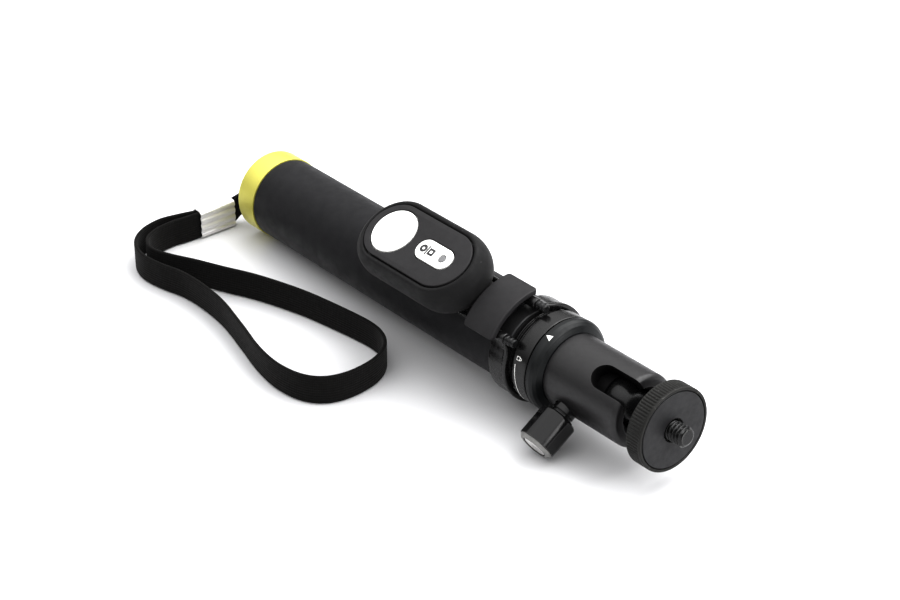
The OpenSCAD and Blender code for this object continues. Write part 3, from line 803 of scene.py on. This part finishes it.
# the ring: one rounded section swept round the handle, flaring up into the two ears
EAR_Y, EAR_Z = 7.2, 15.6
RING_OPEN = 27.0
ring_sections = []
for k in range(161):
    angle = RING_OPEN + (360 - 2 * RING_OPEN) * k / 160
    near = min(angle - RING_OPEN, 360 - RING_OPEN - angle)
    flare = max(0.0, 1 - near / 16) ** 2
    x0, x1 = 127.2 + 1.0 * flare, 135.6 - 1.7 * flare
    r0, r1 = 14.45 + 1.25 * flare, 16.3 + 1.5 * flare
    lip = 0.35 * (1 - flare)
    outline = rounded([(x0, r0, 0.3), (x0, r1 - lip, 0.6), (x1 - 2.0, r1 - lip, 0.5),
                       (x1 - 1.4, r1, 0.4), (x1, r1, 0.5), (x1, r0, 0.3)], 4)
    ring_sections.append([polar(p.x, angle, p.y) for p in outline])
parts = [stack("ring", ring_sections, CLIP)]
for s in (-1, 1):
    ear = CLIP @ Matrix.Translation((0, s * EAR_Y, EAR_Z))
    parts.append(from_bmesh("ear", lathe_bmesh(
        [(128, 0.95, 0), (128, 1.75, 0.4), (133.9, 1.75, 0.4), (133.9, 0.95, 0)], 48, 4), ear))
finish_piece("clip_band", joined("clip_band", parts), "black_plastic", "clip", ["clip_ring"],
             45)

parts = []
for s in (-1, 1):
    ear = CLIP @ Matrix.Translation((0, s * EAR_Y, EAR_Z))
    parts.append(from_bmesh("rod", lathe_bmesh(
        [(112, 0, 0), (112, 0.9, 0.2), (134.0, 0.9, 0), (134.0, 1.5, 0.3), (134.9, 1.5, 0.2),
         (135.1, 1.2, 0.1), (135.4, 1.2, 0.1), (135.6, 1.5, 0.2), (136.5, 1.5, 0.2),
         (136.7, 1.2, 0.1), (137.0, 1.2, 0.1), (137.2, 1.4, 0.15), (138.0, 1.3, 0.4),
         (138.0, 0, 0)], 48, 4), ear))
finish_piece("rods", joined("rods", parts), "black_steel", "clip", ["carrier_rods"],
             40)

# the arched plate: an inverted U along the pole, its crown reaching out over the ring
ACROSS = CLIP @ Matrix(((0, 0, 1, 0), (1, 0, 0, 0), (0, 1, 0, 0), (0, 0, 0, 1)))


def arch_outline(r_out, r_in, half, foot_r=None, cheek=1.4, steps=28):
    """Closed (y, z) outline of an arch of half-angle half; with cheeks down to foot_r."""
    points = []
    for k in range(steps + 1):
        a = math.radians(-half + 2 * half * k / steps)
        points.append(Vector((r_out * math.sin(a), r_out * math.cos(a))))
    back = half if foot_r is None else half - math.degrees(cheek / r_in)
    if foot_r is not None:
        for a in (half, back):
            t = math.radians(a)
            points.append(Vector((foot_r * math.sin(t), foot_r * math.cos(t))))
    for k in range(steps + 1):
        a = math.radians(back - 2 * back * k / steps)
        points.append(Vector((r_in * math.sin(a), r_in * math.cos(a))))
    if foot_r is not None:
        for a in (-back, -half):
            t = math.radians(a)
            points.append(Vector((foot_r * math.sin(t), foot_r * math.cos(t))))
    return points[::-1]


CROWN_BACK, CROWN_FRONT, CROWN_LOW, CROWN_HIGH = 118.4, 131.6, 18.95, 20.8
CROWN_HALF = CROWN_HIGH * math.radians(31.5)
CROWN_CORNER, CROWN_EDGE = 1.3, 0.45


def quarter(radius, near):
    """How far a rounding of that radius draws back at a distance near from its end."""
    return radius - math.sqrt(radius ** 2 - max(0.0, radius - near) ** 2)


def crown_ring(x):
    """The crown's section at x: a bent strip with soft corners, narrower near its two ends."""
    near = min(x - CROWN_BACK, CROWN_FRONT - x)
    half = CROWN_HALF - quarter(CROWN_CORNER, near)
    drawn = quarter(CROWN_EDGE, near)
    low, high = CROWN_LOW + drawn, CROWN_HIGH - drawn
    row = [k * half / 13 for k in range(-12, 13)]
    section = rounded([(y, low, 0) for y in row[12:]] + [(half, low, 0.4), (half, high, 0.4)]
                      + [(y, high, 0) for y in row[::-1]]
                      + [(-half, high, 0.4), (-half, low, 0.4)]
                      + [(y, low, 0) for y in row[:12]])
    return [Vector((x, r * math.sin(y / CROWN_HIGH), r * math.cos(y / CROWN_HIGH)))
            for y, r in section]


steps_in = sorted({radius * (1 - math.cos(math.radians(15 * k)))
                   for radius in (CROWN_CORNER, CROWN_EDGE) for k in range(7)})
crown_rings = ([crown_ring(CROWN_BACK + near) for near in steps_in]
               + [crown_ring(CROWN_FRONT - near) for near in steps_in[::-1]])
finish_piece("saddle", joined("saddle", [
    stack("crown", crown_rings, CLIP),
    plate("cheeks", [arch_outline(20.6, 19.2, 31.2, 15.1)], 119.3, 126.9, 0.3, ACROSS),
    plate("cradle", [arch_outline(15.3, 14.7, 31)], 69.5, 126.0, 0.2, ACROSS)]),
    "charcoal_plastic", "clip", ["saddle_plate"], 35)

# ---- remote ----------------------------------------------------------------------------------
REMOTE_X, FACE_Z = 92.3, 29.2
SLEEVE_PROFILE = [(16.1, 44.6, 18.6), (16.1, 47.0, 21.0), (16.3, 48.4, 22.2),
                  (16.9, 49.6, 23.4), (18.3, 51.3, 25.0), (20.2, 52.5, 26.4),
                  (22.3, 53.0, 27.0), (24.4, 52.8, 26.8), (26.0, 51.6, 26.2),
                  (27.2, 50.0, 25.4), (28.1, 48.6, 24.6), (28.6, 47.6, 23.9),
                  (28.85, 46.9, 23.2), (28.9, 46.3, 22.5), (28.82, 45.7, 21.7),
                  (28.55, 45.3, 21.2), (28.0, 45.1, 20.95), (24.0, 45.1, 20.9),
                  (18.0, 45.1, 20.9)]
sleeve_rings = []
for z, length, width in smooth_route(SLEEVE_PROFILE, 3):
    pocket = width < 21.3 and z > 17
    middle = REMOTE_X - (0.0 if pocket else 0.8 * min(1.0, max(0.0, (28.6 - z) / 3.0)))
    sleeve_rings.append([Vector((p.x + middle, p.y, z))
                         for p in pill_outline(length, width, 160)])
finish_piece("remote_skin", stack("remote_skin", sleeve_rings, CLIP), "sleeve_silicone",
             "clip", ["remote_sleeve"], 60)

BIG_X, MODE_X, LENS_X = REMOTE_X - 11.5, REMOTE_X + 8.4, REMOTE_X + 12.3
KEY_TOP = FACE_Z + 0.2
finish_piece("remote_panel", plate("remote_panel", [
    shifted(pill_outline(44.5, 20.3, 160), REMOTE_X),
    shifted(circle(8.3, 96), BIG_X)[::-1],
    shifted(pill_outline(16.1, 7.9, 96), MODE_X)[::-1]], FACE_Z - 2.2, FACE_Z, 0.28, CLIP),
    "charcoal_plastic", "clip", ["remote_face"], 35)

UPRIGHT = Matrix.Rotation(math.radians(-90), 4, "Y")
lathe("round_key", [(KEY_TOP - 3.1, 0, 0), (KEY_TOP - 3.1, 1.5, 0), (KEY_TOP - 2.1, 1.5, 0),
                    (KEY_TOP - 2.1, 8.6, 0), (KEY_TOP - 1.7, 8.6, 0), (KEY_TOP - 1.7, 8.0, 0),
                    (KEY_TOP - 0.05, 8.0, 0.35), (KEY_TOP, 6.5, 1.5), (KEY_TOP, 0, 0)],
      "white_plastic", "shutter_key", ["shutter_button"],
      place=CLIP @ Matrix.Translation((BIG_X, 0, 0)) @ UPRIGHT, seg=128)
finish_piece("long_key", plate("long_key", [
    shifted(pill_outline(15.5, 7.3, 96), MODE_X),
    shifted(circle(1.45, 48), LENS_X)[::-1]], KEY_TOP - 2.1, KEY_TOP, 0.22, CLIP),
    "white_plastic", "mode_key", ["mode_button"], 35)
lathe("lamp", [(FACE_Z - 4, 0, 0), (FACE_Z - 4, 1.25, 0), (FACE_Z + 0.1, 1.25, 0.25),
               (FACE_Z + 0.1, 0, 0)],
      "grey_lens", "clip", ["status_lens"],
      place=CLIP @ Matrix.Translation((LENS_X, 0, 0)) @ UPRIGHT, seg=48)


def icon(name, outlines):
    """A thin printed mark on the long key."""
    return plate(name, outlines, KEY_TOP - 0.1, KEY_TOP + 0.04, 0.01, CLIP)


ICON_X, ICON_STEP = REMOTE_X + 5.3, 1.8
CORNERS = ((-1, -1), (1, -1), (1, 1), (-1, 1))
square = [Vector((1.25 * a, 1.25 * b)) for a, b in CORNERS]
finish_piece("key_icons", joined("key_icons", [
    icon("ring_icon", [shifted(circle(1.4, 40), ICON_X - ICON_STEP),
                       shifted(circle(0.5, 32), ICON_X - ICON_STEP)[::-1]]),
    icon("bar_icon", [shifted([Vector((0.26 * a, 1.7 * b)) for a, b in CORNERS], ICON_X)]),
    icon("box_icon", [shifted(square, ICON_X + ICON_STEP),
                      shifted([q * 0.4 for q in square], ICON_X + ICON_STEP)[::-1]])]),
    "icon_grey", "mode_key", [], 35)

# ---- CAD nodes that stay as they are -----------------------------------------------------------
# the ball seat and plunger sit deep in the head and get the bore's painted shade instead of their own finish
DEEP_IN_HEAD = ("ball_seat", "seat_plunger")
for row in frame["record"]["subparts"]:
    node = frame["nodes"][row["node"]]
    if not node.hide_render:
        look = "bore_painted_shade" if row["node"] in DEEP_IN_HEAD else row["material_slot"]
        node.data.materials.clear()
        node.data.materials.append(LOOKS[look])

# ---- table and light -----------------------------------------------------------------------------
FLOOR_HALF = 6
floor_mesh = bpy.data.meshes.new("floor")
floor_mesh.from_pydata([(FLOOR_HALF * a, FLOOR_HALF * b, 0) for a, b in CORNERS], [],
                       [(0, 1, 2, 3)])
floor = bpy.data.objects.new("floor", floor_mesh)
bpy.context.scene.collection.objects.link(floor)
white = material("floor_white", (0.60, 0.60, 0.608), 0.42, mottle=0.002, mottle_scale=6,
                 grain=(40, 0.0), specular=0.25, rough_swing=0.01)
floor_mesh.materials.append(white)

world = bpy.data.worlds.new("studio")
bpy.context.scene.world = world
world.use_nodes = True
sky = world.node_tree
ZENITH, HORIZON = 2.4, 0.03
height = sky.nodes.new("ShaderNodeSeparateXYZ")
fade = sky.nodes.new("ShaderNodeMapRange")
fade.inputs["To Min"].default_value, fade.inputs["To Max"].default_value = HORIZON, ZENITH
sky.links.new(sky.nodes.new("ShaderNodeTexCoord").outputs["Generated"], height.inputs[0])
sky.links.new(height.outputs[2], fade.inputs["Value"])
sky.nodes["Background"].inputs[0].default_value = (1.0, 1.0, 1.0, 1)
sky.links.new(fade.outputs["Result"], sky.nodes["Background"].inputs[1])


def softbox(name, at, aim, size, power):
    """A square area light at one point, aimed at another."""
    data = bpy.data.lights.new(name, "AREA")
    data.shape, data.size, data.energy = "SQUARE", size, power
    lamp = bpy.data.objects.new(name, data)
    bpy.context.scene.collection.objects.link(lamp)
    lamp.location = at
    lamp.rotation_mode = "QUATERNION"
    lamp.rotation_quaternion = (Vector(aim) - Vector(at)).to_track_quat("-Z", "Y")


softbox("key", (0.25, 0.75, 1.1), (0, 0, 0), 1.4, 17)
softbox("front", (1.1, 0.3, 0.6), (0.08, 0, 0.02), 0.7, 6.5)
bpy.context.scene.view_settings.view_transform = "Standard"
bpy.context.scene.view_settings.exposure = 0.27
bpy.context.scene.view_settings.gamma = 0.78
